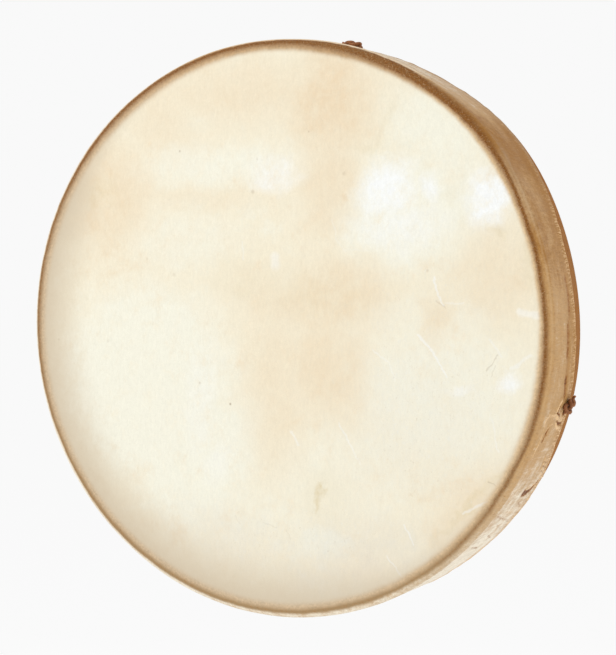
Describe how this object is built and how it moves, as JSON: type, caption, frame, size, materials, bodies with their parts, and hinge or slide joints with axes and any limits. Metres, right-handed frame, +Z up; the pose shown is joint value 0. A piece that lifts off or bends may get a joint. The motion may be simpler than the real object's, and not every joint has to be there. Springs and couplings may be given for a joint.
{
  "type": "shaman drum",
  "caption": "Hand-held frame drum: a shallow bent wooden hoop with a rawhide head wrapped over its rim, held by a knotted leather thong cross with a woven grip.",
  "frame": {"origin": "middle of the hand grip, where the two thongs cross", "axes": "+Y is the drum's axis and points out of its open back, the head faces -Y, +Z is up, +X is to the right as seen from the head's side"},
  "size_m": [0.5022, 0.0805, 0.5047],
  "materials": {
    "bent_wood": "bare reddish-brown wood, sanded and lightly oiled",
    "rawhide": "dried stretched rawhide, cream with darker bands where it lies on the wood",
    "thong_leather": "dark reddish-brown leather thong, matt",
    "lace_leather": "dark brown leather lace, matt"
  },
  "bodies": {
    "root": {"hoop": "bent_wood", "rawhide_head": "rawhide", "thong_upright": "thong_leather", "thong_level": "thong_leather", "grip_lace": "lace_leather"}
  },
  "joints": []
}
